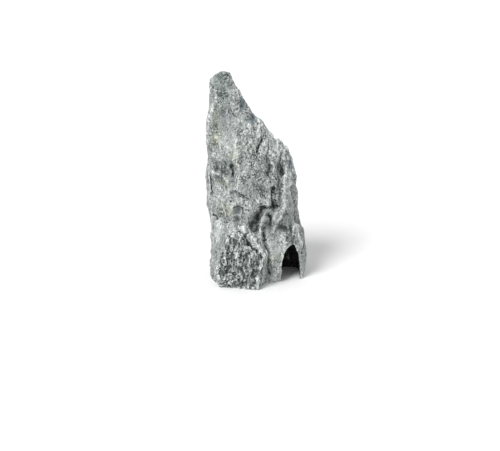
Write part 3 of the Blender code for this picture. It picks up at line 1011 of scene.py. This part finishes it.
def stone_material():
    """Grey limestone, stained and speckled; painted highlight on crests, painted shade in hollows and slits.
    """
    material = bpy.data.materials.new("weathered_limestone")
    material.use_nodes = True
    tree = material.node_tree
    shader = tree.nodes["Principled BSDF"]
    n = Nodes(tree)
    place = n.add("TexCoord").outputs["Object"]
    flow = n.add("Attribute", attribute_name="flow").outputs["Vector"]
    long_flow = n.drawn_out(flow, times=3.0)
    short_flow = n.drawn_out(flow, times=1.6)
    fluted = n.between(n.attribute("roughness"), 0.45, 0.95)
    busy = n.between(n.attribute("roughness"), 0.2, 0.8, start=0.85, end=1.1)
    clumps = n.noise(place, size=8.0, detail=1.0, roughness=0.5)
    clumps = n.between(clumps, -0.10, 0.10, start=0.25, end=1.65)
    rugged = n.between(n.attribute("smooth"), 0.0, 1.0, start=1.0, end=0.40)
    lively = n.times(n.times(clumps, busy), rugged)
    strokes = n.noise(long_flow, size=2.0, detail=1.5, roughness=0.6)
    speckle = n.noise(place, size=1.7, detail=1.0, roughness=0.6)
    grain = n.noise(place, size=0.95, detail=1.0, roughness=0.5)
    ridges = n.times(n.veins(short_flow, size=3.1, width=0.045), lively)
    gaps = n.times(n.veins(short_flow, size=4.1, width=0.040), lively)
    mottle = n.noise(short_flow, size=3.4, detail=2.0, roughness=0.6)
    patches = n.between(mottle, -0.035, 0.035, start=-0.5, end=0.5)
    blotches = n.noise(place, size=7.0, detail=3.0, roughness=0.6)
    drifts = n.noise(place, size=34.0, detail=2.0, roughness=0.5)
    flecks = n.spots(short_flow, spacing=3.0, inner=0.12, outer=0.26)
    flecks = n.times(flecks, n.between(blotches, -0.08, 0.12))
    dots = n.spots(place, spacing=4.2, inner=0.10, outer=0.20)
    dots = n.times(dots, n.between(speckle, -0.06, 0.06))
    tone = n.sum_of(
        (1.0, BASE_TONE),
        # Painted light and shade from the relief: crests lighter, hollows darker, most strongly on the
        # buttress.
        (n.attribute("crest_fine"), 0.95),
        (n.attribute("crest_middle"), 0.18),
        (n.attribute("crest_broad"), 0.04),
        (n.times(n.attribute("crest_middle"), n.attribute("buttress")), 0.34),
        (n.times(blotches, n.attribute("buttress")), 0.45),
        (n.times(strokes, fluted), 0.85),
        (n.times(speckle, lively), 0.68),
        (ridges, 0.20),
        (gaps, -0.22),
        (n.times(patches, lively), 0.07),
        (grain, 0.75),
        (blotches, 0.32),
        (drifts, 0.35),
        (flecks, 0.35),
        (dots, -0.35),
        (n.attribute("buttress"), -0.18),
        # Pale patches are partly painted light.
        (n.attribute("pale"), 0.20),
        # Pale bands are partly painted highlight on ledges and the leg.
        (n.attribute("pale_and_highlight_bands"), 0.26),
        (n.attribute("cream"), 0.08),
        (n.attribute("olive"), -0.06),
        (n.attribute("blue_grey"), -0.10),
        (n.attribute("facets"), -0.10),
        # Dark green is partly stain and partly painted shade.
        (n.attribute("dark_green_and_shade"), -0.14),
        # Shade patches are painted shade.
        (n.attribute("shade"), -0.20),
        # Painted shade along hollows, pits, slits and under ledges.
        (n.attribute("painted_shade_bands"), -0.34),
    )
    ramp = n.add("ValToRGB")
    n.feed(ramp.inputs["Fac"], tone)
    stops = ramp.color_ramp.elements
    stops[0].position, stops[0].color = SHADES[0]
    stops[1].position, stops[1].color = SHADES[-1]
    for position, colour in SHADES[1:-1]:
        stops.new(position).color = colour
    colour = ramp.outputs["Color"]
    for name, tint in TINTS.items():
        colour = n.mix(n.attribute(name), colour, tint, "MULTIPLY")
    # Painted shade: slits, pits and cracks darken with their depth.
    depth = n.times(n.attribute("slit"), n.between(speckle, -0.12, 0.08, start=0.55, end=1.15))
    colour = n.mix(n.between(depth, 0.5, 2.4, start=0.0, end=SLIT_SHADE_COVER), colour, SLIT_PAINTED_SHADE)
    # Painted shade: the walls deep in the hollow beside the leg turn near black.
    colour = n.mix(n.times(n.attribute("hollow"), HOLLOW_SHADE_COVER), colour, HOLLOW_PAINTED_SHADE)
    n.feed(shader.inputs["Base Color"], colour)
    n.feed(shader.inputs["Roughness"], n.between(blotches, -0.2, 0.2, start=0.72, end=0.95))
    height = n.sum_of(
        (speckle, 0.7),
        (n.times(strokes, fluted), 0.9),
        (patches, 0.10),
        (ridges, 0.2),
        (gaps, -0.25),
    )
    bump = n.add("Bump")
    bump.inputs["Distance"].default_value = BUMP_HEIGHT * MM
    bump.inputs["Strength"].default_value = 1.0
    n.feed(bump.inputs["Height"], height)
    n.feed(shader.inputs["Normal"], bump.outputs["Normal"])
    return material


def floor_and_light():
    """A wide pale floor, a soft sun from the upper left and a white surround."""
    bpy.ops.mesh.primitive_circle_add(vertices=96, radius=FLOOR_RADIUS, fill_type="NGON")
    floor = bpy.context.object
    floor.name = "floor"
    paint = bpy.data.materials.new("pale_floor")
    paint.use_nodes = True
    for name, value in FLOOR_PAINT.items():
        paint.node_tree.nodes["Principled BSDF"].inputs[name].default_value = value
    floor.data.materials.append(paint)
    key = bpy.data.lights.new("key", "SUN")
    key.angle = SUN_ANGLE
    key.energy = SUN_STRENGTH
    lamp = bpy.data.objects.new("key", key)
    bpy.context.scene.collection.objects.link(lamp)
    lamp.location = SUN_PLACE
    lamp.rotation_euler = (-lamp.location).to_track_quat("-Z", "Y").to_euler()
    world = bpy.data.worlds.new("white_surround")
    bpy.context.scene.world = world
    world.use_nodes = True
    tree = world.node_tree
    shade = tree.nodes["Background"]
    shade.inputs["Color"].default_value = (1, 1, 1, 1)
    seen = tree.nodes.new("ShaderNodeLightPath")
    strength = tree.nodes.new("ShaderNodeMapRange")
    strength.inputs["To Min"].default_value = SURROUND_LIGHT
    strength.inputs["To Max"].default_value = SURROUND_SEEN
    tree.links.new(seen.outputs["Is Camera Ray"], strength.inputs["Value"])
    tree.links.new(strength.outputs["Result"], shade.inputs["Strength"])


def camera():
    """Looks at the broad face from a little above, with the stone as large as in the photograph."""
    lens = bpy.data.cameras.new("camera")
    lens.sensor_width = SENSOR
    lens.lens = SENSOR * FOCAL_PIXELS / IMAGE_WIDTH
    view = bpy.data.objects.new("camera", lens)
    bpy.context.scene.collection.objects.link(view)
    back = Vector((0, -math.cos(CAMERA_RISE), math.sin(CAMERA_RISE)))
    view.location = (Vector(CAMERA_TARGET) + CAMERA_DISTANCE * back) * MM
    view.rotation_euler = (-back).to_track_quat("-Z", "Y").to_euler()
    bpy.context.scene.camera = view


stone = even_copy(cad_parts["stone"])
weather(stone)
stone.data.materials.clear()
stone.data.materials.append(stone_material())
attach(stone, "root")
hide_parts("stone")
floor_and_light()
camera()
bpy.context.scene.view_settings.view_transform = "Standard"
